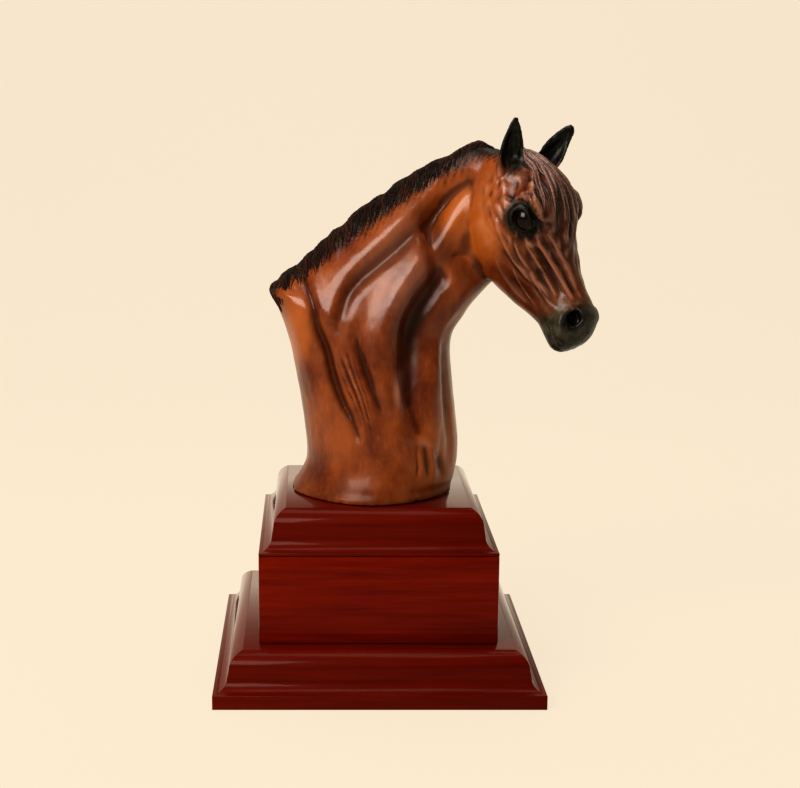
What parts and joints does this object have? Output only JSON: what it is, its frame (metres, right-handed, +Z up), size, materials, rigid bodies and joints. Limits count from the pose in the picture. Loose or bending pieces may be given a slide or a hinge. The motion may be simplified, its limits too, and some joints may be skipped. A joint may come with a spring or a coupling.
{
  "type": "horse head trophy",
  "caption": "Cast and lacquered horse's head and neck, turned to its right, on a stepped square mahogany plinth with moulded edges.",
  "frame": {"origin": "centre of the plinth's flat underside", "axes": "+Z up, +X the way the neck faces, -Y the side that the head turns to, which is the horse's right"},
  "size_m": [0.2314, 0.2, 0.3478],
  "materials": {
    "bay_lacquer": "cast resin, painted bay with a near-black mane, ears and muzzle, gloss lacquer",
    "mahogany": "red-brown stain under gloss varnish"
  },
  "bodies": {
    "root": {"horse_bust": "bay_lacquer", "top_plate": "mahogany", "plinth_block": "mahogany", "base_plate": "mahogany"}
  },
  "joints": []
}
